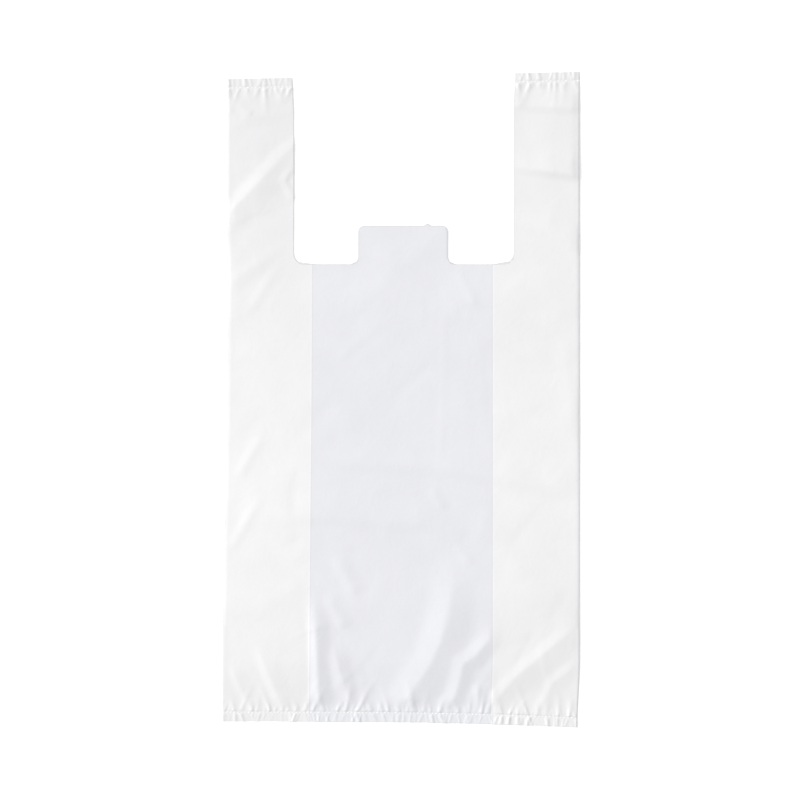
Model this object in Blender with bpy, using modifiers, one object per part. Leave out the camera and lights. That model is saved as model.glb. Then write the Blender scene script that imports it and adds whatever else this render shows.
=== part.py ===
"""A vest-type carrier bag of thin plastic film, lying flat on its back panel.

The bag is one blown tube of film. Its sides are folded in as gussets, both ends are
closed by a narrow weld, and one punch cuts the mouth, which leaves two strap handles
and a tab between them. X runs across the bag, Y from its foot to its handles, and Z up
from the surface that it lies on. The origin is on that surface, under the bag's middle.
"""

import math

import bmesh
import bpy

# The bag's cut size, in metres.
WIDTH = 0.260            # folded flat, side fold to side fold
LENGTH = 0.480           # foot edge to handle ends
LEFT_GUSSET = 0.062      # how far each side is folded in
RIGHT_GUSSET = 0.064
FILM = 0.00002           # wall of the film

# The punched mouth.
HANDLE_LENGTH = 0.140
HANDLE_WIDTH = 0.0485
NOTCH_RADIUS = 0.0085    # where a handle runs into the mouth
FLARE = 0.0013           # how much narrower a handle is at its end
FLARE_LENGTH = 0.025
TAB_LEFT = -0.0335
TAB_RIGHT = 0.0325
TAB_HEIGHT = 0.0285
TAB_TOP_RADIUS = 0.004
TAB_FOOT_RADIUS = 0.0055
NUB_CENTRE = 0.0176      # the torn hanging point on the tab's edge
NUB_WIDTH = 0.0036
NUB_HEIGHT = 0.0018

# The welds.
SKIRT = 0.0065           # loose film between a weld and the cut end
WELD_WIDTH = 0.0012
WELD_HEIGHT = 0.0003
WELD_OVERHANG = 0.0003   # past the side folds

# How the four layers lie on each other.
OPEN_STEP = 0.0007       # from one layer to the next, away from the welds
PINCHED_STEP = 0.00006   # the same, in a weld
PINCHED_BASE = 0.00005   # height of the lowest layer in a weld
SKIRT_STEP = 0.0002      # the same step, at a cut end
PINCH_REACH = 0.0015     # half the stretch that is pinched flat
RISE = 0.045             # over which the layers part again
BELLY = 0.0046           # extra height of the front panel, in the lower half
MOUTH_CROWN = 0.0012     # the same, at the mouth
CROWN_POWER = 4          # how flat the crown is across the middle
FOLD_BEND = 0.00035      # half the width of a fold's bend

# How the bag was put down: not quite square.
SHIFT = 0.0020                     # of the whole bag along X
TOP_SLANT = (-0.0030, 0.0024)      # how far the left and right handle ends are shifted along Y
FOOT_SLANT = (0.0021, -0.0024)     # the same for the foot's corners
FOOT_CURVE = 3                     # the foot's slant is mostly near its right corner
HIP = 0.100                        # Y beyond which the ends are slanted
LEFT_SPREAD = -0.0041              # how far the foot's left corner is spread along X
LEFT_SPREAD_FROM = 0.060           # the Y where that begins, and how far it takes
LEFT_SPREAD_OVER = 0.275
LEFT_SPREAD_CURVE = 3              # how quickly it dies out towards the right
RIGHT_SPREAD = -0.0018             # the same for the foot's right corner
RIGHT_SPREAD_FROM = -0.190
RIGHT_SPREAD_OVER = 0.050

FRONT_NODES = 10
STATIONS_OPEN = 14
FOLD_ANGLES = (90, 30, -30, -90)
RISE_SHARES = (0.25, 0.5, 0.75, 1.0)
WELD_NODES = 12
ARC_STEPS = 6
PUNCH_HALF_HEIGHT = 0.020
PUNCH_ABOVE = 0.020      # how far the punch runs past the handle ends
MERGE = 1e-6

FILM_COLOUR = (0.86, 0.87, 0.90, 1.0)
FILM_ROUGHNESS = 0.38


def smooth(t):
    """0 to 1 with no corner at either end."""
    t = min(max(t, 0.0), 1.0)
    return t * t * (3 - 2 * t)


def blend(a, b, t):
    return a + (b - a) * t


def seal_distance(y):
    """From the nearer weld, positive towards the bag's middle."""
    return LENGTH / 2 - SKIRT - abs(y)


def openness(y):
    """0 where the layers are pinched into a weld, 1 where they lie loose."""
    return smooth((seal_distance(y) - PINCH_REACH) / RISE)


def layer_height(level, y):
    """Height of a layer at a side fold: level 0 is the back panel, level 3 the front."""
    loose = openness(y)
    base = blend(PINCHED_BASE, FILM / 2, loose)
    step = blend(PINCHED_STEP, OPEN_STEP, loose)
    skirt = smooth((-seal_distance(y) - PINCH_REACH) / (SKIRT - PINCH_REACH))
    return base + level * blend(step, SKIRT_STEP, skirt)


def crown(x, y):
    """How much higher the front panel lies than its side folds."""
    belly = smooth((HIP - y) / (2 * HIP))
    height = blend(MOUTH_CROWN, BELLY, belly) * openness(y)
    return height * (1 - (2 * x / WIDTH) ** CROWN_POWER)


def fold(x_tip, inward, level_from, level_to, y):
    """The bend of a fold whose tip is at x_tip. inward points from the tip into the film."""
    middle = (level_from + level_to) / 2
    reach = (level_from - level_to) / 2
    points = []
    for degrees in FOLD_ANGLES:
        turn = math.radians(degrees)
        x = x_tip + inward * FOLD_BEND * (1 - math.cos(turn))
        points.append((x, layer_height(middle + reach * math.sin(turn), y)))
    return points


def section(y):
    """(x, z) round the tube at y: front panel, right gusset, back panel, left gusset."""
    side = WIDTH / 2
    left = LEFT_GUSSET - side
    right = side - RIGHT_GUSSET
    points = []
    for node in range(1, FRONT_NODES):
        x = blend(-side, side, node / FRONT_NODES)
        points.append((x, layer_height(3, y) + crown(x, y)))
    points += fold(side, -1, 3, 2, y)
    points += fold(right, 1, 2, 1, y)
    points += fold(side, -1, 1, 0, y)
    points += [(right, layer_height(0, y)), (left, layer_height(0, y))]
    points += fold(-side, 1, 0, 1, y)
    points += fold(left, -1, 1, 2, y)
    points += fold(-side, 1, 2, 3, y)
    return points


def stations():
    """The Y of each section, closer together at the welds."""
    end = LENGTH / 2
    weld = end - SKIRT
    steps = [end, end - SKIRT / 2, weld + PINCH_REACH, weld, weld - PINCH_REACH]
    steps += [weld - PINCH_REACH - RISE * share for share in RISE_SHARES]
    inside = steps[-1]
    middle = [blend(-inside, inside, n / STATIONS_OPEN) for n in range(1, STATIONS_OPEN)]
    return [-y for y in steps] + middle + steps[::-1]


def lie(x, y):
    """Where a point of the straight bag comes to lie."""
    share = x / WIDTH + 0.5
    top = smooth((y - HIP) / (LENGTH / 2 - HIP))
    foot = smooth((-y - HIP) / (LENGTH / 2 - HIP))
    slant = top * blend(*TOP_SLANT, share) + foot * blend(*FOOT_SLANT, share ** FOOT_CURVE)
    left = LEFT_SPREAD * smooth((LEFT_SPREAD_FROM - y) / LEFT_SPREAD_OVER)
    left *= (1 - share) ** LEFT_SPREAD_CURVE
    right = RIGHT_SPREAD * smooth((RIGHT_SPREAD_FROM - y) / RIGHT_SPREAD_OVER)
    return x + SHIFT + left + right * share, y + slant


def put_down(mesh):
    """Moves a straight mesh's vertices to where the bag lies."""
    for vertex in mesh.vertices:
        vertex.co.x, vertex.co.y = lie(vertex.co.x, vertex.co.y)


def film_tube(collection):
    """The gusseted tube, as a loft through its sections, with the film's thickness."""
    loft = bmesh.new()
    rings = [[loft.verts.new((x, y, z)) for x, z in section(y)] for y in stations()]
    for ring, following in zip(rings, rings[1:]):
        for i in range(len(ring)):
            j = (i + 1) % len(ring)
            loft.faces.new((ring[i], ring[j], following[j], following[i]))
    bmesh.ops.recalc_face_normals(loft, faces=loft.faces)
    mesh = bpy.data.meshes.new("carrier_bag")
    loft.to_mesh(mesh)
    loft.free()
    put_down(mesh)
    bag = bpy.data.objects.new("carrier_bag", mesh)
    collection.objects.link(bag)
    wall = bag.modifiers.new("film", "SOLIDIFY")
    wall.thickness = FILM
    wall.offset = 0
    wall.use_even_offset = True
    return bag


def weld(name, y, collection):
    """A flat bead right across the bag that holds all the layers together."""
    bpy.ops.mesh.primitive_grid_add(x_subdivisions=WELD_NODES, y_subdivisions=1, size=1)
    bead = bpy.context.active_object
    bead.name = name
    for vertex in bead.data.vertices:
        vertex.co.x *= WIDTH + 2 * WELD_OVERHANG
        vertex.co.y = y + vertex.co.y * WELD_WIDTH
    put_down(bead.data)
    body = bmesh.new()
    body.from_mesh(bead.data)
    raised = bmesh.ops.extrude_face_region(body, geom=body.faces[:])["geom"]
    top = [item for item in raised if isinstance(item, bmesh.types.BMVert)]
    bmesh.ops.translate(body, verts=top, vec=(0, 0, WELD_HEIGHT))
    bmesh.ops.recalc_face_normals(body, faces=body.faces)
    body.to_mesh(bead.data)
    body.free()
    return as_tool(bead, collection)


def as_tool(thing, collection):
    """Hides a helper from the build and moves it to the tools' collection."""
    for owner in list(thing.users_collection):
        owner.objects.unlink(thing)
    collection.objects.link(thing)
    thing.hide_render = True
    thing.display_type = "WIRE"
    return thing


def rounded(corners):
    """Points of a closed outline. Each corner is (x, y, radius), and an arc replaces it."""
    points = []
    for i, (x, y, radius) in enumerate(corners):
        if radius == 0:
            points.append((x, y))
            continue
        before, after = corners[i - 1], corners[(i + 1) % len(corners)]
        to_before = math.atan2(before[1] - y, before[0] - x)
        to_after = math.atan2(after[1] - y, after[0] - x)
        between = math.remainder(to_after - to_before, 2 * math.pi)
        half = abs(between) / 2
        middle = to_before + between / 2
        centre = (x + radius / math.sin(half) * math.cos(middle),
                  y + radius / math.sin(half) * math.sin(middle))
        sweep = math.copysign(math.pi - 2 * half, -between)
        start = middle + math.pi - sweep / 2
        for step in range(ARC_STEPS + 1):
            turn = start + sweep * step / ARC_STEPS
            points.append((centre[0] + radius * math.cos(turn),
                           centre[1] + radius * math.sin(turn)))
    return points


def mouth_outline():
    """The punch's outline: a U between the handles that leaves the tab standing."""
    handle = WIDTH / 2 - HANDLE_WIDTH
    above = LENGTH / 2 + PUNCH_ABOVE
    flare = LENGTH / 2 - FLARE_LENGTH
    floor = LENGTH / 2 - HANDLE_LENGTH
    tab_top = floor + TAB_HEIGHT
    nub = NUB_WIDTH / 2
    return rounded([
        (-handle - FLARE, above, 0),
        (-handle - FLARE, LENGTH / 2, 0),
        (-handle, flare, 0),
        (-handle, floor, NOTCH_RADIUS),
        (TAB_LEFT, floor, TAB_FOOT_RADIUS),
        (TAB_LEFT, tab_top, TAB_TOP_RADIUS),
        (NUB_CENTRE - nub, tab_top, 0),
        (NUB_CENTRE, tab_top + NUB_HEIGHT, 0),
        (NUB_CENTRE + nub, tab_top, 0),
        (TAB_RIGHT, tab_top, TAB_TOP_RADIUS),
        (TAB_RIGHT, floor, TAB_FOOT_RADIUS),
        (handle, floor, NOTCH_RADIUS),
        (handle, flare, 0),
        (handle + FLARE, LENGTH / 2, 0),
        (handle + FLARE, above, 0),
    ])


def mouth_punch(collection):
    """The tool that cuts the mouth through every layer."""
    outline = bpy.data.curves.new("mouth_outline", "CURVE")
    outline.dimensions = "2D"
    outline.fill_mode = "BOTH"
    outline.extrude = PUNCH_HALF_HEIGHT
    points = mouth_outline()
    spline = outline.splines.new("POLY")
    spline.points.add(len(points) - 1)
    for point, (x, y) in zip(spline.points, points):
        point.co = (x, y, 0, 1)
    spline.use_cyclic_u = True
    drawn = bpy.data.objects.new("mouth_outline", outline)
    collection.objects.link(drawn)
    graph = bpy.context.evaluated_depsgraph_get()
    mesh = bpy.data.meshes.new_from_object(drawn.evaluated_get(graph))
    body = bmesh.new()
    body.from_mesh(mesh)
    bmesh.ops.remove_doubles(body, verts=body.verts, dist=MERGE)
    bmesh.ops.recalc_face_normals(body, faces=body.faces)
    body.to_mesh(mesh)
    body.free()
    put_down(mesh)
    punch = bpy.data.objects.new("mouth_punch", mesh)
    punch.matrix_world = drawn.matrix_world
    bpy.data.objects.remove(drawn)
    return as_tool(punch, collection)


def combine(bag, tool, operation):
    step = bag.modifiers.new(tool.name, "BOOLEAN")
    step.object = tool
    step.operation = operation


def film_material():
    film = bpy.data.materials.new("white_film")
    film.use_nodes = True
    shader = film.node_tree.nodes["Principled BSDF"]
    shader.inputs["Base Color"].default_value = FILM_COLOUR
    shader.inputs["Roughness"].default_value = FILM_ROUGHNESS
    shader.inputs["Metallic"].default_value = 0.0
    return film


def main():
    for thing in list(bpy.data.objects):
        bpy.data.objects.remove(thing)
    parts = bpy.data.collections.new("carrier_bag")
    tools = bpy.data.collections.new("tools")
    bpy.context.scene.collection.children.link(parts)
    bpy.context.scene.collection.children.link(tools)

    bag = film_tube(parts)
    weld_line = LENGTH / 2 - SKIRT
    combine(bag, weld("foot_weld", -weld_line, tools), "UNION")
    combine(bag, weld("handle_weld", weld_line, tools), "UNION")
    combine(bag, mouth_punch(tools), "DIFFERENCE")
    bag.data.materials.append(film_material())


main()
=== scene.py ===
import math

import bpy
import numpy as np
from bpy.props import FloatProperty, FloatVectorProperty, IntProperty
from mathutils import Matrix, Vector


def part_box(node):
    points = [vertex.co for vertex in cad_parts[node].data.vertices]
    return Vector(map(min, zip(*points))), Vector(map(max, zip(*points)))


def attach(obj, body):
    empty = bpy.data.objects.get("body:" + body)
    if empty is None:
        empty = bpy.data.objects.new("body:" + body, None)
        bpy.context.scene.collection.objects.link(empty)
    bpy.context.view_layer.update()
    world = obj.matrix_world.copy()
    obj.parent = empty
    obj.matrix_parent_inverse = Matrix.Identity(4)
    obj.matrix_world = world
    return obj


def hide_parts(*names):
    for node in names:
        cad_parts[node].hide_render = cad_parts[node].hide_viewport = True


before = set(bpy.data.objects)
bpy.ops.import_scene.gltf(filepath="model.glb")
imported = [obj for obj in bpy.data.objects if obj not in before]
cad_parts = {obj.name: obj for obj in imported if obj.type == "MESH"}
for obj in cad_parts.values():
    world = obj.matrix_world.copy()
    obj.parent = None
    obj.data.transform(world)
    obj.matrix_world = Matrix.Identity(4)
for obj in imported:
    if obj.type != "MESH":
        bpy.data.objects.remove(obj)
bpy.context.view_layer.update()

bl_info = {
    "name": "Vest carrier bag",
    "version": (1, 0, 0),
    "blender": (4, 5, 0),
    "location": "View3D > Sidebar > Carrier Bag",
    "description": "Builds a flat-lying carrier bag of thin film, with puckered welds and creases",
    "category": "Add Mesh",
}

MM = 0.001
LOW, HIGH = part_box("carrier_bag")

# How the bag was put down: not quite square. All lengths are in metres.
WELD_OVERHANG = 0.0003             # how far a weld reaches past a side fold
SHIFT = 0.0020                     # of the whole bag along X
TOP_SLANT = (-0.0030, 0.0024)      # how far the left and right handle ends are shifted along Y
FOOT_SLANT = (0.0021, -0.0024)     # the same for the foot's corners
FOOT_CURVE = 3                     # the foot's slant is mostly near its right corner
HIP = 0.100                        # Y beyond which the ends are slanted
LEFT_SPREAD = -0.0041              # how far the foot's left corner is spread along X
LEFT_SPREAD_FROM = 0.060           # the Y where that begins, and how far it takes
LEFT_SPREAD_OVER = 0.275
LEFT_SPREAD_CURVE = 3              # how quickly it dies out towards the right
RIGHT_SPREAD = -0.0018             # the same for the foot's right corner
RIGHT_SPREAD_FROM = -0.190
RIGHT_SPREAD_OVER = 0.050
BAG_WIDTH = HIGH.x - LOW.x + LEFT_SPREAD - 2 * WELD_OVERHANG
BAG_LENGTH = HIGH.y - LOW.y - TOP_SLANT[1] + FOOT_SLANT[1]

# The punched mouth.
FLARE = 0.0013                     # how much narrower a handle is at its end
FLARE_LENGTH = 0.025
TAB_LEFT = -0.0335
TAB_RIGHT = 0.0325
TAB_TOP_RADIUS = 0.004
TAB_FOOT_RADIUS = 0.0055
NUB_X = 0.0176                     # the torn hanging point on the tab's edge
NUB_HEIGHT = 0.0018

# How the four layers lie. Level 0 is the back panel, 1 and 2 the gussets, 3 the front.
TOP_LEVEL = 3
FLOOR_GAP = 0.00003                # between the floor and the back panel
PINCHED = 0.00036                  # height of the front panel in a weld
PINCH_REACH = 0.0004               # half the stretch that the weld holds flat
RISE = 0.040                       # over which the layers part beyond a weld
SIDE_HEIGHT = 0.00035              # height of the front panel at a side fold
MOUTH_CROWN = 0.0010               # extra height of the front panel at the mouth
CROWN_POWER = 4                    # how flat the crown is across the middle
EDGE_REACH = 0.030                 # from the punched edge, over which the front panel rises
FOLD_BEND = 0.00035                # from a fold's line to where the panels beside it begin
CREST_ROUND = 0.06                 # how round a crest is, as a share of its flank
VALLEY_ROUND = 0.10                # the same for the foot of its flank
FLANK_BLEND = 2                    # over how many mm one flank's width turns into the other's
TAPER_START = 0.35                 # share of its length over which a crease rises
TAPER_END = 1.04                   # where along its length it would have died out
TAPER_REACH = 0.15                 # over what share of its length it does
SIDE_SHARE = 0.40                  # of a crease's height that is left at a side fold
SIDE_REACH = 0.006                 # from a side fold, over which its full height returns
SOFT_FLOOR = 0.00012               # how softly the film meets what lies under it
UNDER_SHARES = (0.0, 0.22, 0.44)   # height of levels 0 to 2, as a share of the front's base

# Painted shade of light falling off towards the handle ends and the foot: where the four layers are
# lightest, and how far from there they reach the ends' colour.
LIGHTEST = -0.070
TO_HANDLES = 0.31
TO_FOOT = 0.19

# How the film looks. A noise is given as its detail, roughness and distortion.
CRINKLE_NOISE = (6.0, 0.55, 0.4)
DRAW_NOISE = (2.0, 0.5, 0.0)
CLOUD_NOISE = (5.0, 0.6, 0.0)
DRAW_STRETCH = (1.0, 0.04, 1.0)    # the draw lines run along the bag
MASK_GAIN = 14.0                   # how narrow the finest crinkles are in the mask
# The tone step from two layers to four is painted show-through: greyer for the shade under the bag
# seen through two layers.
LAYER_SHARPNESS = 2500.0           # per metre, of the step from two layers to four
# Painted light and shade at the folds: a light line where a gusset's fold shows through the front
# panel, a painted shadow beside it, and a painted shadow along each side fold.
SEEN_LINE = (0.0004, 0.0004)       # a gusset fold's light line: its middle and half its width
SHADOW_LINE = (-0.0005, 0.0004)    # the dark line beside it
SIDE_LINE_HALF = 0.0006            # half the width of the dark line along a side fold
LINE_STRENGTH = 0.4
# Painted shade: a thin dark line along the punched edge.
EDGE_POWER = 3.0                   # how close to the punched edge its tone stays
EDGE_STRENGTH = 0.9
EDGE_TONE = 0.8                    # of the two-layer colour, at the punched edge
FILM_BUMP = (0.8, 0.00035)         # strength and distance
FILM_MASK_SHARE = 0.08             # how much rougher the finest crinkles are
WELD_BUMP = (0.5, 0.0001)
WELD_MASK_SHARE = 0.15
WELD_ROUGHNESS = 0.22
FILM_IOR = 1.5
WHITE = (1.0, 1.0, 1.0, 1.0)

# The weld's beads.
BEAD_SUBDIVISIONS = 2
BEAD_TURN = 0.35                   # the most that a bead is turned, in radians
BEAD_SIZES = (0.7, 1.15)           # range, as a share of the bead size
WELD_MARGIN = 0.9                  # from a weld's end to its first bead, in mm
WELD_POINTS = 40

# The stage.
KEY_PLACE = (-2.0, 0.9, 1.5)
CAMERA_PLACE = (-0.0007, -0.0004, 3.2)
SENSOR_WIDTH = 36.0                # in mm
CLIP_END = 30.0
FLOOR_SIZE = 8.0
FLOOR_DROP = 0.0001                # of the floor under the bag's lowest point
FLOOR_ROUGHNESS = 0.9

# The mesh. A rank says how finely a row is divided across the front panel: a column of
# rank 4 is there only in rows of rank 4, and one of rank 1 in every row.
FRONT_STEPS = 104
BACK_STEPS = 20
GUSSET_STEPS = 5
LONG_STEP = 0.0028                 # between rows of rank 1
RANKS = (4, 2)
FOOT_ZONES = (0.0140, 0.0700)     # where the rows of each rank end, from the foot's edge
HANDLE_ZONES = (0.0140, 0.1100)
SNAP = 0.0006                      # a point this near to the punched edge is moved onto it
SLOPE_STEP = 0.1                   # in mm, to measure which way the edge lies
HALVINGS = 20                      # to find where a mesh edge meets the punched edge

# Creases, listed one by one: the points of each crest on the flat bag in mm, then its height and
# the widths of its flanks to the left and the right of its direction, in mm. A negative
# height is a valley.
CREASES = [
    # Foot, middle: the broad ridge, the zigzag beside it and the folds by the left gusset.
    ([(38, -112), (36, -138), (33, -160), (28, -179), (20, -197), (10, -213), (-4, -234)],
     2.4, 18.0, 15.0),
    ([(65, -158), (63, -178), (53, -190), (44, -196), (42, -207), (39, -220), (31, -234)],
     1.6, 9.0, 8.0),
    ([(55, -208), (57, -235)], 1.1, 4.5, 4.5),
    ([(-65, -137), (-63, -179), (-62, -202), (-60, -235)], 1.9, 9.5, 6.0),
    ([(-58, -143), (-42, -170)], 0.9, 7.0, 4.9),
    ([(-52, -178), (-45, -206), (-34, -234)], 1.3, 9.0, 7.0),
    # Foot, left and right gusset zones.
    ([(-126, -194), (-117, -215), (-109, -235)], 0.7, 9.0, 4.5),
    ([(-107, -180), (-97, -206), (-85, -235)], 1.0, 10.0, 5.0),
    ([(135, -160), (105, -186), (83, -205), (66, -226)], 1.2, 14.0, 7.0),
    ([(135, -188), (111, -208), (99, -233)], 0.7, 10.0, 5.0),
    # Left handle: the sharp diagonal fold, the valley below it and what runs beside them.
    ([(-58, 216), (-79, 193), (-104, 165), (-136, 131)], 1.3, 16.0, 8.0),
    ([(-62, 155), (-96, 137), (-140, 118)], -0.5, 12.0, 6.0),
    ([(-80, 176), (-88, 163), (-80, 147)], 0.8, 2.5, 4.5),
    ([(-80, 119), (-105, 102), (-133, 83)], 0.5, 8.0, 6.0),
    ([(-86, 107), (-99, 90), (-114, 66)], 0.45, 5.0, 4.0),
    ([(-131, 209), (-80, 214)], 0.45, 11.2, 7.0),
    ([(-125, 224), (-120, 218), (-112, 213)], 0.5, 3.5, 3.5),
    # Right handle: three soft folds across it.
    ([(62, 217), (100, 215), (142, 213)], 1.0, 14.0, 5.0),
    ([(62, 174), (100, 169), (142, 163)], 1.7, 22.0, 5.0),
    ([(66, 133), (105, 125), (142, 106)], 1.1, 16.0, 6.0),
    # Front panel: long faint creases from the folding of the stack.
    ([(31, 96), (30, 22), (27, -50)], 0.16, 2.6, 2.6),
    ([(38, 99), (45, 86), (53, 70)], 0.5, 4.0, 3.0),
    ([(-82, -43), (27, -51), (132, -69)], 0.8, 22.0, 7.0),
    ([(-118, -86), (-46, -88), (24, -94)], 0.55, 16.0, 6.0),
    ([(-102, -22), (-121, -57)], 0.55, 5.0, 4.0),
    ([(-104, -71), (-126, -111)], 0.55, 5.0, 4.0),
    ([(19, -66), (30, -80)], 0.7, 3.5, 3.0),
    ([(37, -107), (50, -121)], 0.7, 3.5, 3.0),
    ([(-52, -112), (-34, -145)], 0.8, 8.0, 5.0),
    ([(72, -119), (116, -150)], 0.4, 11.2, 11.2),
    ([(118, 55), (126, -18)], 0.35, 8.4, 8.4),
    ([(-128, -72), (-72, -121)], 0.4, 12.6, 9.8),
]
# Pleats at the welds, as (pitch, longest reach, half width, strength), with lengths in mm.
PUCKERS = ((6.2, 27.0, 1.4, 1.0), (2.9, 8.0, 0.7, 0.5))
PUCKER_SPREAD = 1.1                # how much wider a pleat is at its end, as a share
PUCKER_FADE = 0.7                  # how late a pleat fades along its run
PUCKER_START = 0.0010              # from a weld, over which the pleats rise
PUCKER_LEAN = 0.5                  # the most that a pleat leans to either side
PUCKER_MARGIN = 1.0                # from a side fold to the first pleat, in mm
PUCKER_PITCHES = (0.5, 1.5)        # ranges, as shares of the values in PUCKERS
PUCKER_RUNS = (0.35, 1.0)
PUCKER_WIDTHS = (0.8, 1.25)
PUCKER_STRENGTHS = (0.45, 1.0)
FLUTE_STRENGTHS = (0.3, 1.3)
DRAWN_START = 0.0120               # from a weld, over which the creases rise
EDGE_DRAWN = 0.60                  # of a crease's height that is left at the punched edge
SKIRT_SHARE = 0.60                 # height of the skirt's flutes, as a share of the pleats
UNDER_GAP = 0.00010                # between the front panel and what lies under it
FAINT_CREASES = 70                 # seeded ones, over the whole front
FAINT_LENGTH = (14.0, 58.0)        # in mm
FAINT_WIDTH = (2.4, 6.0)
FAINT_HEIGHT = (0.06, 0.22)
FAINT_FIELD = 0.48                 # how far from the middle they lie, as a share of the bag
FAINT_TURN = (0.9, 0.75)           # mean and spread of their direction, in radians
FAINT_BOW = 0.06                   # spread of how bent they are, as a share of their length
FAINT_FLANKS = (0.8, 2.2)          # width of the right flank, as a share of the left one's
WAVES = ((80.0, 1.0, 9), (34.0, 0.22, 12), (14.0, 0.04, 16))   # length in mm, share, count
WAVE_LENGTHS = (0.75, 1.4)         # range, as a share of the length


def smooth(t):
    """0 to 1 with no corner at either end."""
    t = np.clip(t, 0.0, 1.0)
    return t * t * (3 - 2 * t)


def blend(a, b, t):
    """a at t = 0, b at t = 1, and straight between them."""
    return a + (b - a) * t


class CarrierBagCut(bpy.types.PropertyGroup):
    width: FloatProperty(
        name="Width", description="Folded flat, side fold to side fold",
        default=BAG_WIDTH, unit="LENGTH")
    length: FloatProperty(
        name="Length", description="Foot edge to handle ends",
        default=BAG_LENGTH, unit="LENGTH")
    left_gusset: FloatProperty(
        name="Left gusset", description="How far the left side is folded in",
        default=0.062, unit="LENGTH")
    right_gusset: FloatProperty(
        name="Right gusset", description="How far the right side is folded in",
        default=0.064, unit="LENGTH")
    handle_width: FloatProperty(
        name="Handle width", description="Side fold to the punched edge",
        default=0.0485, unit="LENGTH")
    handle_length: FloatProperty(
        name="Handle length", description="Mouth to handle end",
        default=0.140, unit="LENGTH")
    notch_radius: FloatProperty(
        name="Notch radius", description="Where a handle runs into the mouth",
        default=0.0085, unit="LENGTH")
    tab_height: FloatProperty(
        name="Tab height", description="Of the tab that stands between the handles",
        default=0.0285, unit="LENGTH")
    skirt: FloatProperty(
        name="Skirt", description="Loose film between a weld and the cut end",
        default=0.0065, unit="LENGTH")
    wall: FloatProperty(
        name="Film wall", description="Thickness of the shown film",
        default=0.00005, unit="LENGTH", precision=5)


class CarrierBagRelief(bpy.types.PropertyGroup):
    belly: FloatProperty(
        name="Belly", description="Extra height of the front panel in the lower half",
        default=0.0022, unit="LENGTH")
    wave: FloatProperty(
        name="Wave", description="Height of the broad, soft waves in the film",
        default=0.00030, unit="LENGTH", precision=5)
    pucker: FloatProperty(
        name="Pucker", description="Height of the pleats that leave a weld",
        default=0.00085, unit="LENGTH", precision=5)
    seed: IntProperty(
        name="Seed", description="Which waves and pleats the bag has", default=7)


class CarrierBagFinish(bpy.types.PropertyGroup):
    # Painted show-through: two layers get a greyer colour for the shade under the bag seen through
    # them, four layers a lighter one.
    two_ply: FloatVectorProperty(
        name="Two layers", description="Colour where two layers of film lie on each other",
        subtype="COLOR", size=4, min=0.0, max=1.0, default=(0.798, 0.802, 0.832, 1.0))
    four_ply: FloatVectorProperty(
        name="Four layers", description="Colour where the gussets lie between the panels",
        subtype="COLOR", size=4, min=0.0, max=1.0, default=(0.885, 0.879, 0.890, 1.0))
    # Painted shade: the four layers darken towards the foot and the handle ends, where less light
    # falls.
    ends: FloatVectorProperty(
        name="Ends", description="Colour of the four layers near the foot and the handle ends",
        subtype="COLOR", size=4, min=0.0, max=1.0, default=(0.833, 0.825, 0.836, 1.0))
    # A painted light line where a gusset's fold shows through the front panel; the welds take the
    # same colour as their own.
    weld_and_fold_light: FloatVectorProperty(
        name="Gusset folds", description="Colour of the thin lines where the gussets are folded",
        subtype="COLOR", size=4, min=0.0, max=1.0, default=(0.95, 0.95, 0.95, 1.0))
    fold_shadow: FloatVectorProperty(
        name="Beside the folds", description="Colour of the thin dark lines next to them",
        subtype="COLOR", size=4, min=0.0, max=1.0, default=(0.70, 0.71, 0.74, 1.0))
    roughness: FloatProperty(
        name="Roughness", description="Mean roughness of the film",
        default=0.36, min=0.0, max=1.0, subtype="FACTOR")


class CarrierBagStage(bpy.types.PropertyGroup):
    floor_colour: FloatVectorProperty(
        name="Floor", description="Colour of the floor",
        subtype="COLOR", size=4, min=0.0, max=1.0, default=(0.95, 0.95, 0.95, 1.0))
    floor_glow: FloatProperty(
        name="Floor glow", description="Light that the floor gives off itself",
        default=0.14, min=0.0)
    key_strength: FloatProperty(
        name="Key light", description="Of the soft light at the left",
        default=1.98, min=0.0)
    key_softness: FloatProperty(
        name="Softness", description="How wide the key light looks from the bag",
        default=math.radians(28), subtype="ANGLE")
    sky: FloatProperty(
        name="Surround", description="Strength of the white surround",
        default=0.69, min=0.0)
    view_width: FloatProperty(
        name="View width", description="Floor that the camera sees, side to side",
        default=0.592, unit="LENGTH")


def film_distance(x, y, cut):
    """How far a point of the flat bag lies inside the film, from the mouth's punched edge."""
    floor = cut.length / 2 - cut.handle_length
    flare = FLARE * np.clip((y - cut.length / 2 + FLARE_LENGTH) / FLARE_LENGTH, 0, 1)
    half = cut.width / 2 - cut.handle_width + flare
    mouth = rounded_distance(np.abs(x) - half, floor - y, cut.notch_radius)
    middle = (TAB_LEFT + TAB_RIGHT) / 2
    across = np.abs(x - middle) - (TAB_RIGHT - TAB_LEFT) / 2
    tab = rounded_distance(across, y - floor - cut.tab_height, TAB_TOP_RADIUS)
    near = np.maximum(TAB_FOOT_RADIUS, np.minimum(-mouth, tab))
    reach = np.hypot(np.maximum(TAB_FOOT_RADIUS + mouth, 0), np.maximum(TAB_FOOT_RADIUS - tab, 0))
    return reach - near


def rounded_distance(across, along, radius):
    """Distance from a corner region with a round corner, negative inside it."""
    u, v = across + radius, along + radius
    outside = np.hypot(np.maximum(u, 0), np.maximum(v, 0))
    return outside + np.minimum(np.maximum(u, v), 0) - radius


def seal_distance(y, cut):
    """From the nearer weld, positive towards the bag's middle."""
    return cut.length / 2 - cut.skirt - np.abs(y)


def loose(y, cut, reach):
    """0 in a weld and 1 at a reach away from it, on either side."""
    return smooth((np.abs(seal_distance(y, cut)) - PINCH_REACH) / reach)


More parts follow.
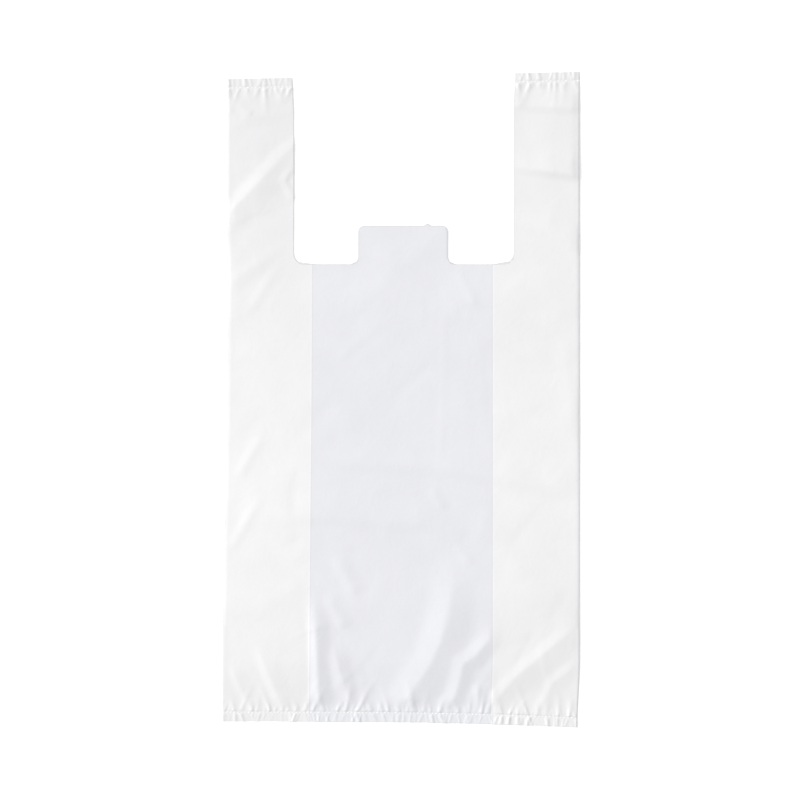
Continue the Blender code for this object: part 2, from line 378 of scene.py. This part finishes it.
def base_height(x, y, cut, relief):
    """Height of the front panel without its creases."""
    apart = smooth((seal_distance(y, cut) - PINCH_REACH) / RISE)
    belly = smooth((HIP - y) / (2 * HIP))
    crown = blend(MOUTH_CROWN, relief.belly, belly) * (1 - (2 * x / cut.width) ** CROWN_POWER)
    edge = smooth(film_distance(x, y, cut) / EDGE_REACH)
    return PINCHED + apart * edge * (SIDE_HEIGHT + crown)


def crease_height(x, y, points, height, left, right):
    """The relief of one crease: a crest along its line, tapered at both ends."""
    points = np.array(points) * MM
    runs = np.hypot(*np.diff(points, axis=0).T)
    nearest = np.full(x.shape, np.inf)
    side = np.zeros(x.shape)
    along = np.zeros(x.shape)
    before = 0.0
    for (ax, ay), (bx, by), run in zip(points, points[1:], runs):
        dx, dy = (bx - ax) / run, (by - ay) / run
        t = np.clip((x - ax) * dx + (y - ay) * dy, 0, run)
        away = np.hypot(x - ax - t * dx, y - ay - t * dy)
        closer = away < nearest
        nearest = np.where(closer, away, nearest)
        side = np.where(closer, dx * (y - ay) - dy * (x - ax), side)
        along = np.where(closer, (before + t) / runs.sum(), along)
        before += run
    flank = blend(right, left, smooth(side / (FLANK_BLEND * MM) + 0.5)) * MM
    taper = smooth(along / TAPER_START) * smooth((TAPER_END - along) / TAPER_REACH)
    fall = 1 + CREST_ROUND - np.hypot(nearest / flank, CREST_ROUND)
    crest = np.logaddexp(0, fall / VALLEY_ROUND) * VALLEY_ROUND
    return height * MM * taper * crest


def faint_creases(cut, rng):
    """Short, faint creases of handling, in the same form as the listed ones."""
    creases = []
    for _ in range(FAINT_CREASES):
        x = rng.uniform(-FAINT_FIELD, FAINT_FIELD) * cut.width / MM
        y = rng.uniform(-FAINT_FIELD, FAINT_FIELD) * cut.length / MM
        turn = rng.normal(*FAINT_TURN)
        reach = rng.uniform(*FAINT_LENGTH) / 2
        dx, dy = reach * math.cos(turn), reach * math.sin(turn)
        bow = rng.normal(0, FAINT_BOW)
        points = [(x - dx, y - dy), (x - bow * dy, y + bow * dx), (x + dx, y + dy)]
        width = rng.uniform(*FAINT_WIDTH)
        height = rng.uniform(*FAINT_HEIGHT) * rng.choice((-1, 1))
        creases.append((points, height, width, width * rng.uniform(*FAINT_FLANKS)))
    return creases


def wave_height(x, y, relief, rng):
    """Broad, soft waves: a seeded sum of plain ones in every direction."""
    total = np.zeros(x.shape)
    for length, share, count in WAVES:
        for _ in range(count):
            turn = rng.uniform(0, math.pi)
            number = 2 * math.pi / (length * MM * rng.uniform(*WAVE_LENGTHS))
            start = rng.uniform(0, 2 * math.pi)
            phase = number * (x * math.cos(turn) + y * math.sin(turn)) + start
            total += share * np.sin(phase) * math.sqrt(2 / count)
    return relief.wave * total


def pucker_height(x, y, cut, relief, rng):
    """The pleats that fan out from both welds, and the flutes of the skirts beyond them."""
    total = np.zeros(x.shape)
    for end in (-1, 1):
        toward = cut.length / 2 - cut.skirt - end * y
        for pitch, reach, width, most in PUCKERS:
            near = toward < reach * MM
            px, beyond = x[near], toward[near]
            place = -cut.width / 2 / MM + PUCKER_MARGIN
            while place < cut.width / 2 / MM:
                run = reach * rng.uniform(*PUCKER_RUNS) * MM
                lean, flute_lean = rng.uniform(-PUCKER_LEAN, PUCKER_LEAN, 2)
                wide = width * rng.uniform(*PUCKER_WIDTHS) * MM
                strength = most * rng.uniform(*PUCKER_STRENGTHS)
                flute = most * rng.uniform(*FLUTE_STRENGTHS) ** 2
                share = np.clip(beyond / run, 0, 1)
                pleat = strength * (1 - share) ** PUCKER_FADE
                fade = np.where(beyond > 0, pleat, SKIRT_SHARE * flute)
                centre = place * MM + np.where(beyond > 0, lean, flute_lean) * beyond
                broad = wide * (1 + PUCKER_SPREAD * share)
                total[near] += fade * np.exp(-((px - centre) / broad) ** 2)
                place += pitch * rng.uniform(*PUCKER_PITCHES)
    return relief.pucker * total * loose(y, cut, PUCKER_START)


def front_height(x, y, cut, relief):
    """Height of the front panel over the floor, with every wave, crease and pucker."""
    rng = np.random.default_rng(relief.seed)
    drawn = wave_height(x, y, relief, rng)
    for crease in CREASES + faint_creases(cut, rng):
        drawn += crease_height(x, y, *crease)
    side = smooth((cut.width / 2 - np.abs(x)) / SIDE_REACH)
    edge = blend(EDGE_DRAWN, 1.0, smooth(film_distance(x, y, cut) / EDGE_REACH))
    drawn *= blend(SIDE_SHARE, 1.0, side) * edge * loose(y, cut, DRAWN_START)
    base = base_height(x, y, cut, relief)
    height = base + drawn + pucker_height(x, y, cut, relief, rng)
    least = base * UNDER_SHARES[-1] + UNDER_GAP
    return least + np.logaddexp(0, (height - least) / SOFT_FLOOR) * SOFT_FLOOR


def lie(x, y, cut):
    """Where points of the straight bag come to lie."""
    share = x / cut.width + 0.5
    top = smooth((y - HIP) / (cut.length / 2 - HIP))
    foot = smooth((-y - HIP) / (cut.length / 2 - HIP))
    slant = top * blend(*TOP_SLANT, share) + foot * blend(*FOOT_SLANT, share ** FOOT_CURVE)
    left = LEFT_SPREAD * smooth((LEFT_SPREAD_FROM - y) / LEFT_SPREAD_OVER)
    left *= (1 - share) ** LEFT_SPREAD_CURVE
    right = RIGHT_SPREAD * smooth((RIGHT_SPREAD_FROM - y) / RIGHT_SPREAD_OVER)
    return x + SHIFT + left + right * share, y + slant


def put_down(flat, cut, relief):
    """Places points of the flat bag, each (x, y, level), on the floor."""
    x, y, level = flat.T
    under = len(UNDER_SHARES) - 1
    share = np.interp(level, range(under + 1), UNDER_SHARES)
    below = base_height(x, y, cut, relief) * share
    height = blend(below, front_height(x, y, cut, relief), np.clip(level - under, 0, 1))
    return np.column_stack([*lie(x, y, cut), cut.wall / 2 + FLOOR_GAP + height])


def tube_columns(cut):
    """The columns round the tube from the front panel's left side, as (x, level, rank)."""
    side = cut.width / 2
    left, right = cut.left_gusset - side, side - cut.right_gusset

    def fold(tip, start, end):
        return [(tip, (start + end) / 2, 1)]

    def panel(start, end, level, steps):
        start += math.copysign(FOLD_BEND, end - start)
        end -= math.copysign(FOLD_BEND, end - start)
        return [(blend(start, end, n / steps), level, 1) for n in range(steps + 1)]

    finest = RANKS[0]
    front = [(x, level, finest // math.gcd(n, finest))
             for n, (x, level, _) in enumerate(panel(-side, side, TOP_LEVEL, finest * FRONT_STEPS))]
    return (front + fold(side, TOP_LEVEL, 2) + panel(side, right, 2, GUSSET_STEPS)
            + fold(right, 2, 1) + panel(right, side, 1, GUSSET_STEPS)
            + fold(side, 1, 0) + panel(side, -side, 0, BACK_STEPS)
            + fold(-side, 0, 1) + panel(-side, left, 1, GUSSET_STEPS)
            + fold(left, 1, 2) + panel(left, -side, 2, GUSSET_STEPS)
            + fold(-side, 2, TOP_LEVEL))


def tube_rows(cut):
    """The rows from foot to handles, as (y, rank)."""
    low, high = -cut.length / 2, cut.length / 2

    def zones(edge, inward, ends):
        rows, start = [(edge, RANKS[0])], 0.0
        for rank, end in zip(RANKS, ends):
            steps = round((end - start) * rank / LONG_STEP)
            rows += [(edge + inward * blend(start, end, n / steps), rank)
                     for n in range(1, steps + 1)]
            start = end
        return rows

    foot, handle = zones(low, 1, FOOT_ZONES), zones(high, -1, HANDLE_ZONES)
    start, end = foot[-1][0], handle[-1][0]
    steps = round((end - start) / LONG_STEP)
    middle = [(blend(start, end, n / steps), 1) for n in range(1, steps)]
    return foot + middle + handle[::-1]


class Cutter:
    """The tube's flat points and faces, trimmed along the punched edge."""

    def __init__(self, cut):
        self.cut = cut
        self.points = []
        self.depth = []
        self.faces = []
        self.crossings = {}

    def snap(self):
        """Moves points that nearly lie on the punched edge onto it."""
        flat = np.array(self.points)
        depth = film_distance(flat[:, 0], flat[:, 1], self.cut)
        tiny = SLOPE_STEP * MM
        slope_x = (film_distance(flat[:, 0] + tiny, flat[:, 1], self.cut) - depth) / tiny
        slope_y = (film_distance(flat[:, 0], flat[:, 1] + tiny, self.cut) - depth) / tiny
        near = np.abs(depth) < SNAP
        flat[near, 0] -= (depth * slope_x)[near]
        flat[near, 1] -= (depth * slope_y)[near]
        depth[near] = 0.0
        self.points = [tuple(p) for p in flat]
        self.depth = list(depth)

    def crossing(self, a, b):
        """The point where the edge from a to b meets the punched edge."""
        key = (min(a, b), max(a, b))
        if key not in self.crossings:
            start, end = np.array(self.points[a]), np.array(self.points[b])
            low, high = 0.0, 1.0
            for _ in range(HALVINGS):
                half = (low + high) / 2
                x, y = blend(start, end, half)[:2]
                inside = film_distance(x, y, self.cut) > 0
                low, high = (half, high) if inside == (self.depth[a] > 0) else (low, half)
            self.crossings[key] = len(self.points)
            self.points.append(tuple(blend(start, end, low)))
            self.depth.append(0.0)
        return self.crossings[key]

    def trimmed(self, face):
        """The part of a face that lies in the film, or nothing."""
        if all(self.depth[v] >= 0 for v in face):
            return face if any(self.depth[v] > 0 for v in face) else []
        if all(self.depth[v] <= 0 for v in face):
            return []
        kept = []
        for a, b in zip(face, face[1:] + face[:1]):
            if self.depth[a] >= 0:
                kept.append(a)
            if self.depth[a] * self.depth[b] < 0:
                kept.append(self.crossing(a, b))
        return kept if len(kept) > 2 else []


def flat_tube(cut):
    """The tube's trimmed grid: its points (x, y, level) and faces."""
    columns, rows = tube_columns(cut), tube_rows(cut)
    sheet = Cutter(cut)
    index = {}
    for j, (y, row_rank) in enumerate(rows):
        for i, (x, level, rank) in enumerate(columns):
            if rank <= row_rank:
                index[i, j] = len(sheet.points)
                sheet.points.append((x, y, level))
    sheet.snap()
    count = len(columns)
    for j in range(len(rows) - 1):
        ranks = rows[j][1], rows[j + 1][1]
        main = [i for i in range(count) if columns[i][2] <= min(ranks)]
        for i, i_next in zip(main, main[1:] + [count]):
            low, high = ([(n % count, row) for n in range(i, i_next + 1)
                          if columns[n % count][2] <= rank]
                         for row, rank in zip((j, j + 1), ranks))
            face = sheet.trimmed([index[corner] for corner in low + high[::-1]])
            if face:
                sheet.faces.append(face)
    return sheet


def film_mesh(cut, relief):
    """The whole tube of film as an open mesh, with its flat place as a UV map."""
    sheet = flat_tube(cut)
    used = sorted({v for face in sheet.faces for v in face})
    number = {v: n for n, v in enumerate(used)}
    flat = np.array(sheet.points)[used]
    depth = np.array(sheet.depth)[used]
    floor = cut.length / 2 - cut.handle_length
    tab_top = (depth == 0) & (np.abs(flat[:, 1] - floor - cut.tab_height) < SNAP)
    tab_top = np.flatnonzero(tab_top & (flat[:, 2] == TOP_LEVEL))
    # The nub is on the front panel alone: the back panel's columns are too far apart for it.
    nub = tab_top[np.argmin(np.abs(flat[tab_top, 0] - NUB_X))]
    flat[nub, :2] = NUB_X, flat[nub, 1] + NUB_HEIGHT
    places = put_down(flat, cut, relief)
    mesh = bpy.data.meshes.new("film_bag")
    mesh.from_pydata(places.tolist(), [], [[number[v] for v in face] for face in sheet.faces])
    corners = np.array([loop.vertex_index for loop in mesh.loops])
    mesh.uv_layers.new(name="flat").data.foreach_set("uv", flat[corners, :2].ravel())
    edge = mesh.attributes.new("cut_edge", "FLOAT", "POINT")
    edge.data.foreach_set("value", (depth == 0).astype(np.float32))
    mesh.shade_smooth()
    around = np.bincount([loop.edge_index for loop in mesh.loops], minlength=len(mesh.edges))
    mesh.attributes.new("sharp_edge", "BOOLEAN", "EDGE").data.foreach_set("value", around == 1)
    return mesh


def new_group(name, inputs, outputs):
    """An empty shader node group with its sockets, and its input and output nodes."""
    tree = bpy.data.node_groups.new(name, "ShaderNodeTree")
    for direction, sockets in (("INPUT", inputs), ("OUTPUT", outputs)):
        for label, kind, value in sockets:
            made = tree.interface.new_socket(label, in_out=direction, socket_type=kind)
            if value is not None:
                made.default_value = value
    return tree, tree.nodes.new("NodeGroupInput"), tree.nodes.new("NodeGroupOutput")


def math_node(tree, operation, a, b=None, clamp=False):
    """The result of a math node whose inputs are sockets or values."""
    node = tree.nodes.new("ShaderNodeMath")
    node.operation = operation
    node.use_clamp = clamp
    for socket, value in zip(node.inputs, (a, b)):
        if isinstance(value, bpy.types.NodeSocket):
            tree.links.new(value, socket)
        elif value is not None:
            socket.default_value = value
    return node.outputs[0]


def noise_node(tree, vector, scale, detail, roughness, distortion):
    """The value of a noise at a vector, both it and the scale being sockets."""
    node = tree.nodes.new("ShaderNodeTexNoise")
    node.inputs["Detail"].default_value = detail
    node.inputs["Roughness"].default_value = roughness
    node.inputs["Distortion"].default_value = distortion
    tree.links.new(scale, node.inputs["Scale"])
    tree.links.new(vector, node.inputs["Vector"])
    return node.outputs["Fac"]


def crinkle_group():
    """Small creases of handled film: a height for bump, and a mask of the finest of them."""
    tree, given, result = new_group(
        "film_crinkle",
        [("Vector", "NodeSocketVector", None), ("Crinkle Scale", "NodeSocketFloat", 90.0),
         ("Draw Line Scale", "NodeSocketFloat", 700.0),
         ("Draw Line Share", "NodeSocketFloat", 0.03)],
        [("Height", "NodeSocketFloat", None), ("Mask", "NodeSocketFloat", None)])
    vector = given.outputs["Vector"]
    soft = noise_node(tree, vector, given.outputs["Crinkle Scale"], *CRINKLE_NOISE)
    folded = math_node(tree, "ABSOLUTE", math_node(tree, "SUBTRACT", soft, 0.5))
    stretch = tree.nodes.new("ShaderNodeMapping")
    stretch.inputs["Scale"].default_value = DRAW_STRETCH
    tree.links.new(vector, stretch.inputs["Vector"])
    along = stretch.outputs["Vector"]
    drawn = noise_node(tree, along, given.outputs["Draw Line Scale"], *DRAW_NOISE)
    lines = math_node(tree, "MULTIPLY", drawn, given.outputs["Draw Line Share"])
    tree.links.new(math_node(tree, "ADD", folded, lines), result.inputs["Height"])
    steep = math_node(tree, "MULTIPLY", folded, MASK_GAIN)
    sharp = math_node(tree, "SUBTRACT", 1.0, steep, clamp=True)
    tree.links.new(sharp, result.inputs["Mask"])
    return tree


def cloud_group():
    """The milky unevenness of blown film: a colour made slightly lighter and darker."""
    tree, given, result = new_group(
        "film_cloud",
        [("Vector", "NodeSocketVector", None), ("Color", "NodeSocketColor", (0.9, 0.9, 0.9, 1.0)),
         ("Cloud Scale", "NodeSocketFloat", 28.0), ("Amount", "NodeSocketFloat", 0.05)],
        [("Color", "NodeSocketColor", None)])
    cloud = noise_node(tree, given.outputs["Vector"], given.outputs["Cloud Scale"], *CLOUD_NOISE)
    centred = math_node(tree, "SUBTRACT", cloud, 0.5)
    swing = math_node(tree, "MULTIPLY", centred, given.outputs["Amount"])
    gain = math_node(tree, "ADD", swing, 1.0)
    scale = tree.nodes.new("ShaderNodeVectorMath")
    scale.operation = "SCALE"
    tree.links.new(given.outputs["Color"], scale.inputs[0])
    tree.links.new(gain, scale.inputs["Scale"])
    tree.links.new(scale.outputs["Vector"], result.inputs["Color"])
    return tree


def place_group(material, tree, **values):
    """A shared group placed in a material, with the given inputs set."""
    node = material.node_tree.nodes.new("ShaderNodeGroup")
    node.node_tree = tree
    for name, value in values.items():
        node.inputs[name.replace("_", " ")].default_value = value
    return node


def mixed(tree, factor, a, b):
    """A colour mix whose three inputs are sockets or values."""
    node = tree.nodes.new("ShaderNodeMix")
    node.data_type = "RGBA"
    node.clamp_factor = True
    sockets = [s for s in node.inputs if s.name in ("A", "B") and s.type == "RGBA"]
    for socket, value in zip([node.inputs[0]] + sockets, (factor, a, b)):
        if isinstance(value, bpy.types.NodeSocket):
            tree.links.new(value, socket)
        else:
            socket.default_value = value
    return next(s for s in node.outputs if s.type == "RGBA")


def crinkled(material, place, crinkle, roughness, mask_share, bump_values):
    """Lets the crinkles drive a material's roughness and bump."""
    tree = material.node_tree
    shader = tree.nodes["Principled BSDF"]
    tree.links.new(place, crinkle.inputs["Vector"])
    rough = math_node(tree, "MULTIPLY", crinkle.outputs["Mask"], mask_share)
    tree.links.new(math_node(tree, "ADD", rough, roughness), shader.inputs["Roughness"])
    bump = tree.nodes.new("ShaderNodeBump")
    bump.inputs["Strength"].default_value, bump.inputs["Distance"].default_value = bump_values
    tree.links.new(crinkle.outputs["Height"], bump.inputs["Height"])
    tree.links.new(bump.outputs["Normal"], shader.inputs["Normal"])


def film_material(cut, finish, crinkles, clouds):
    """White film. It is painted lighter where the gussets lie between the panels, as four layers
    of it pass less light than two, and painted greyer where two layers let the shade under
    the bag show through: the layers are real, their tones are painted light and shade."""
    material = bpy.data.materials.new("white_film")
    material.use_nodes = True
    tree = material.node_tree
    shader = tree.nodes["Principled BSDF"]
    place = tree.nodes.new("ShaderNodeTexCoord").outputs["Object"]
    flat = tree.nodes.new("ShaderNodeUVMap")
    flat.uv_map = "flat"
    split = tree.nodes.new("ShaderNodeSeparateXYZ")
    tree.links.new(flat.outputs["UV"], split.inputs["Vector"])
    side = cut.width / 2
    from_left = math_node(tree, "SUBTRACT", cut.left_gusset - side, split.outputs["X"])
    from_right = math_node(tree, "SUBTRACT", split.outputs["X"], side - cut.right_gusset)
    inward = math_node(tree, "MAXIMUM", from_left, from_right)
    four = math_node(tree, "ADD", math_node(tree, "MULTIPLY", inward, LAYER_SHARPNESS), 0.5,
                     clamp=True)
    # Painted shade: the four-layer colour darkens towards the handle ends and the foot, where the
    # light falls off.
    up = math_node(tree, "SUBTRACT", split.outputs["Y"], LIGHTEST)
    ends = math_node(tree, "MAXIMUM", math_node(tree, "DIVIDE", up, TO_HANDLES),
                     math_node(tree, "DIVIDE", up, -TO_FOOT), clamp=True)
    colour = mixed(tree, ends, finish.four_ply, finish.ends)
    # Painted show-through: the two-layer zone is greyer for the shade beneath, the four-layer zone
    # lighter.
    colour = mixed(tree, four, finish.two_ply, colour)
    across = math_node(tree, "ABSOLUTE", split.outputs["X"])
    # Painted light line at each gusset fold, with painted shadow beside it and along each side
    # fold.
    for place_across, middle, half, tone in (
        (inward, *SEEN_LINE, finish.weld_and_fold_light), (inward, *SHADOW_LINE, finish.fold_shadow),
        (across, side, SIDE_LINE_HALF, finish.fold_shadow),
    ):
        line = math_node(tree, "COMPARE", place_across, middle)
        line.node.inputs[2].default_value = half
        colour = mixed(tree, math_node(tree, "MULTIPLY", line, LINE_STRENGTH), colour, tone)
    # Painted shade: the film is darker along the punched edge.
    edge = tree.nodes.new("ShaderNodeAttribute")
    edge.attribute_name = "cut_edge"
    close = math_node(tree, "POWER", edge.outputs["Fac"], EDGE_POWER)
    thin = math_node(tree, "MULTIPLY", close, EDGE_STRENGTH)
    colour = mixed(tree, thin, colour, tuple(EDGE_TONE * c for c in finish.two_ply[:3]) + (1.0,))
    cloud = place_group(material, clouds, Cloud_Scale=45.0, Amount=0.06)
    tree.links.new(place, cloud.inputs["Vector"])
    tree.links.new(colour, cloud.inputs["Color"])
    tree.links.new(cloud.outputs["Color"], shader.inputs["Base Color"])
    crinkle = place_group(material, crinkles, Crinkle_Scale=110.0, Draw_Line_Scale=800.0)
    crinkled(material, place, crinkle, finish.roughness, FILM_MASK_SHARE, FILM_BUMP)
    shader.inputs["IOR"].default_value = FILM_IOR
    return material


def weld_material(finish, crinkles, clouds):
    """Film that a hot bar has melted together: glossier, and a little glassy."""
    material = bpy.data.materials.new("welded_film")
    material.use_nodes = True
    tree = material.node_tree
    shader = tree.nodes["Principled BSDF"]
    place = tree.nodes.new("ShaderNodeTexCoord").outputs["Object"]
    cloud = place_group(material, clouds, Cloud_Scale=400.0, Amount=0.10, Color=finish.weld_and_fold_light)
    tree.links.new(place, cloud.inputs["Vector"])
    tree.links.new(cloud.outputs["Color"], shader.inputs["Base Color"])
    crinkle = place_group(material, crinkles, Crinkle_Scale=900.0, Draw_Line_Share=0.0)
    crinkled(material, place, crinkle, WELD_ROUGHNESS, WELD_MASK_SHARE, WELD_BUMP)
    return material


def shared_group(name, make):
    """The shared group of this name, made if it isn't there yet."""
    return bpy.data.node_groups.get(name) or make()


class CARRIERBAG_OT_film(bpy.types.Operator):
    """Make the whole bag: one tube of film with its gussets, handles, creases and welded ends"""

    bl_idname = "carrier_bag.make_film"
    bl_label = "Film Bag"

    def execute(self, context):
        scene = context.scene
        cut = scene.carrier_bag_cut
        mesh = film_mesh(cut, scene.carrier_bag_relief)
        bag = bpy.data.objects.new("film_bag", mesh)
        scene.collection.objects.link(bag)
        wall = bag.modifiers.new("wall", "SOLIDIFY")
        wall.thickness = cut.wall
        wall.offset = 0
        crinkles = shared_group("film_crinkle", crinkle_group)
        clouds = shared_group("film_cloud", cloud_group)
        mesh.materials.append(film_material(cut, scene.carrier_bag_finish, crinkles, clouds))
        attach(bag, "root")
        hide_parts("carrier_bag")
        return {"FINISHED"}


def bead_tree():
    """Flat beads along a line, as the teeth of a sealing bar leave them."""
    tree = bpy.data.node_groups.new("weld_beads", "GeometryNodeTree")
    sockets = (
        ("Line", "NodeSocketGeometry", None), ("Spacing", "NodeSocketFloat", 0.0027),
        ("Bead Size", "NodeSocketVector", (0.0011, 0.00042, 0.0003)),
        ("Material", "NodeSocketMaterial", None), ("Seed", "NodeSocketInt", 3))
    for label, kind, value in sockets:
        made = tree.interface.new_socket(label, in_out="INPUT", socket_type=kind)
        if value is not None:
            made.default_value = value
    tree.interface.new_socket("Beads", in_out="OUTPUT", socket_type="NodeSocketGeometry")
    given = tree.nodes.new("NodeGroupInput")
    result = tree.nodes.new("NodeGroupOutput")
    places = tree.nodes.new("GeometryNodeCurveToPoints")
    places.mode = "LENGTH"
    bead = tree.nodes.new("GeometryNodeMeshIcoSphere")
    bead.inputs["Radius"].default_value = 1.0
    bead.inputs["Subdivisions"].default_value = BEAD_SUBDIVISIONS
    turn = tree.nodes.new("FunctionNodeRandomValue")
    turn.data_type = "FLOAT_VECTOR"
    turn.inputs["Min"].default_value = (0.0, 0.0, -BEAD_TURN)
    turn.inputs["Max"].default_value = (0.0, 0.0, BEAD_TURN)
    size = tree.nodes.new("FunctionNodeRandomValue")
    size.data_type = "FLOAT"
    size.inputs[2].default_value, size.inputs[3].default_value = BEAD_SIZES
    scaled = tree.nodes.new("ShaderNodeVectorMath")
    scaled.operation = "SCALE"
    instances = tree.nodes.new("GeometryNodeInstanceOnPoints")
    real = tree.nodes.new("GeometryNodeRealizeInstances")
    painted = tree.nodes.new("GeometryNodeSetMaterial")
    link = tree.links.new
    link(given.outputs["Line"], places.inputs["Curve"])
    link(given.outputs["Spacing"], places.inputs["Length"])
    link(given.outputs["Seed"], turn.inputs["Seed"])
    link(given.outputs["Seed"], size.inputs["Seed"])
    link(given.outputs["Bead Size"], scaled.inputs[0])
    link(size.outputs[1], scaled.inputs["Scale"])
    link(places.outputs["Points"], instances.inputs["Points"])
    link(bead.outputs["Mesh"], instances.inputs["Instance"])
    link(turn.outputs[0], instances.inputs["Rotation"])
    link(scaled.outputs["Vector"], instances.inputs["Scale"])
    link(instances.outputs["Instances"], real.inputs["Geometry"])
    link(real.outputs["Geometry"], painted.inputs["Geometry"])
    link(given.outputs["Material"], painted.inputs["Material"])
    link(painted.outputs["Geometry"], result.inputs["Beads"])
    return tree


class CARRIERBAG_OT_welds(bpy.types.Operator):
    """Make the beads of the foot weld and of the two handle welds"""

    bl_idname = "carrier_bag.make_welds"
    bl_label = "Weld Beads"

    def execute(self, context):
        scene = context.scene
        cut = scene.carrier_bag_cut
        side = cut.width / 2
        flare = FLARE * (1 - cut.skirt / FLARE_LENGTH)
        inner = side - cut.handle_width + flare
        weld = cut.length / 2 - cut.skirt
        runs = [(-side, side, -weld), (-side, -inner, weld), (inner, side, weld)]
        line = bpy.data.curves.new("weld_line", "CURVE")
        line.dimensions = "3D"
        margin = WELD_MARGIN * MM
        height = FLOOR_GAP + PINCHED
        for start, end, y in runs:
            xs = np.linspace(start + margin, end - margin, WELD_POINTS)
            px, py = lie(xs, np.full(xs.shape, y), cut)
            spline = line.splines.new("POLY")
            spline.points.add(len(xs) - 1)
            for point, a, b in zip(spline.points, px, py):
                point.co = (a, b, height, 1)
        drawn = bpy.data.objects.new("weld_line", line)
        scene.collection.objects.link(drawn)
        crinkles = shared_group("film_crinkle", crinkle_group)
        clouds = shared_group("film_cloud", cloud_group)
        material = weld_material(scene.carrier_bag_finish, crinkles, clouds)
        steps = drawn.modifiers.new("beads", "NODES")
        steps.node_group = bead_tree()
        names = {s.name: s.identifier for s in steps.node_group.interface.items_tree}
        steps[names["Material"]] = material
        graph = context.evaluated_depsgraph_get()
        mesh = bpy.data.meshes.new_from_object(drawn.evaluated_get(graph))
        mesh.name = "weld_beads"
        bpy.data.objects.remove(drawn)
        if not mesh.polygons:
            raise RuntimeError("the weld's beads came out empty")
        mesh.shade_smooth()
        beads = bpy.data.objects.new("weld_beads", mesh)
        scene.collection.objects.link(beads)
        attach(beads, "root")
        return {"FINISHED"}


def key_light(strength, softness, place):
    """A wide, distant light that shines from place towards the bag's middle."""
    data = bpy.data.lights.new("key", "SUN")
    data.energy = strength
    data.angle = softness
    light = bpy.data.objects.new("key", data)
    light.location = place
    light.rotation_euler = (-Vector(place)).to_track_quat("-Z", "Y").to_euler()
    bpy.context.scene.collection.objects.link(light)


class CARRIERBAG_OT_stage(bpy.types.Operator):
    """Make the pale floor, the soft light and the camera that looks straight down"""

    bl_idname = "carrier_bag.make_stage"
    bl_label = "Stage"

    def execute(self, context):
        scene = context.scene
        stage = scene.carrier_bag_stage
        bpy.ops.mesh.primitive_plane_add(size=FLOOR_SIZE, location=(0, 0, -FLOOR_DROP))
        floor = context.active_object
        floor.name = "floor"
        material = bpy.data.materials.new("floor")
        material.use_nodes = True
        shader = material.node_tree.nodes["Principled BSDF"]
        shader.inputs["Base Color"].default_value = stage.floor_colour
        shader.inputs["Roughness"].default_value = FLOOR_ROUGHNESS
        shader.inputs["Emission Color"].default_value = WHITE
        shader.inputs["Emission Strength"].default_value = stage.floor_glow
        floor.data.materials.append(material)
        world = bpy.data.worlds.new("surround")
        world.use_nodes = True
        backdrop = world.node_tree.nodes["Background"]
        backdrop.inputs["Color"].default_value = WHITE
        backdrop.inputs["Strength"].default_value = stage.sky
        scene.world = world
        key_light(stage.key_strength, stage.key_softness, KEY_PLACE)
        lens = bpy.data.cameras.new("camera")
        camera = bpy.data.objects.new("camera", lens)
        scene.collection.objects.link(camera)
        camera.location = CAMERA_PLACE
        lens.sensor_width = SENSOR_WIDTH
        lens.lens = lens.sensor_width * camera.location.z / stage.view_width
        lens.clip_end = CLIP_END
        scene.camera = camera
        scene.view_settings.view_transform = "Standard"
        return {"FINISHED"}


class CARRIERBAG_PT_panel(bpy.types.Panel):
    """The sidebar panel with every setting and button"""

    bl_label = "Carrier Bag"
    bl_idname = "CARRIERBAG_PT_panel"
    bl_space_type = "VIEW_3D"
    bl_region_type = "UI"
    bl_category = "Carrier Bag"

    def draw(self, context):
        scene = context.scene
        for operator, settings in (
            ("carrier_bag.make_film", (scene.carrier_bag_cut, scene.carrier_bag_relief,
                                       scene.carrier_bag_finish)),
            ("carrier_bag.make_welds", ()),
            ("carrier_bag.make_stage", (scene.carrier_bag_stage,)),
        ):
            for group in settings:
                for name in group.__annotations__:
                    self.layout.prop(group, name)
            self.layout.operator(operator)


CLASSES = (
    CarrierBagCut, CarrierBagRelief, CarrierBagFinish, CarrierBagStage,
    CARRIERBAG_OT_film, CARRIERBAG_OT_welds, CARRIERBAG_OT_stage, CARRIERBAG_PT_panel,
)
SETTINGS = {
    "carrier_bag_cut": CarrierBagCut,
    "carrier_bag_relief": CarrierBagRelief,
    "carrier_bag_finish": CarrierBagFinish,
    "carrier_bag_stage": CarrierBagStage,
}


def register():
    for cls in CLASSES:
        bpy.utils.register_class(cls)
    for name, cls in SETTINGS.items():
        setattr(bpy.types.Scene, name, bpy.props.PointerProperty(type=cls))


def unregister():
    for name in SETTINGS:
        delattr(bpy.types.Scene, name)
    for cls in reversed(CLASSES):
        bpy.utils.unregister_class(cls)


def main():
    register()
    bpy.ops.carrier_bag.make_film()
    bpy.ops.carrier_bag.make_welds()
    bpy.ops.carrier_bag.make_stage()
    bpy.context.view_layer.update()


if __name__ == "__main__":
    main()
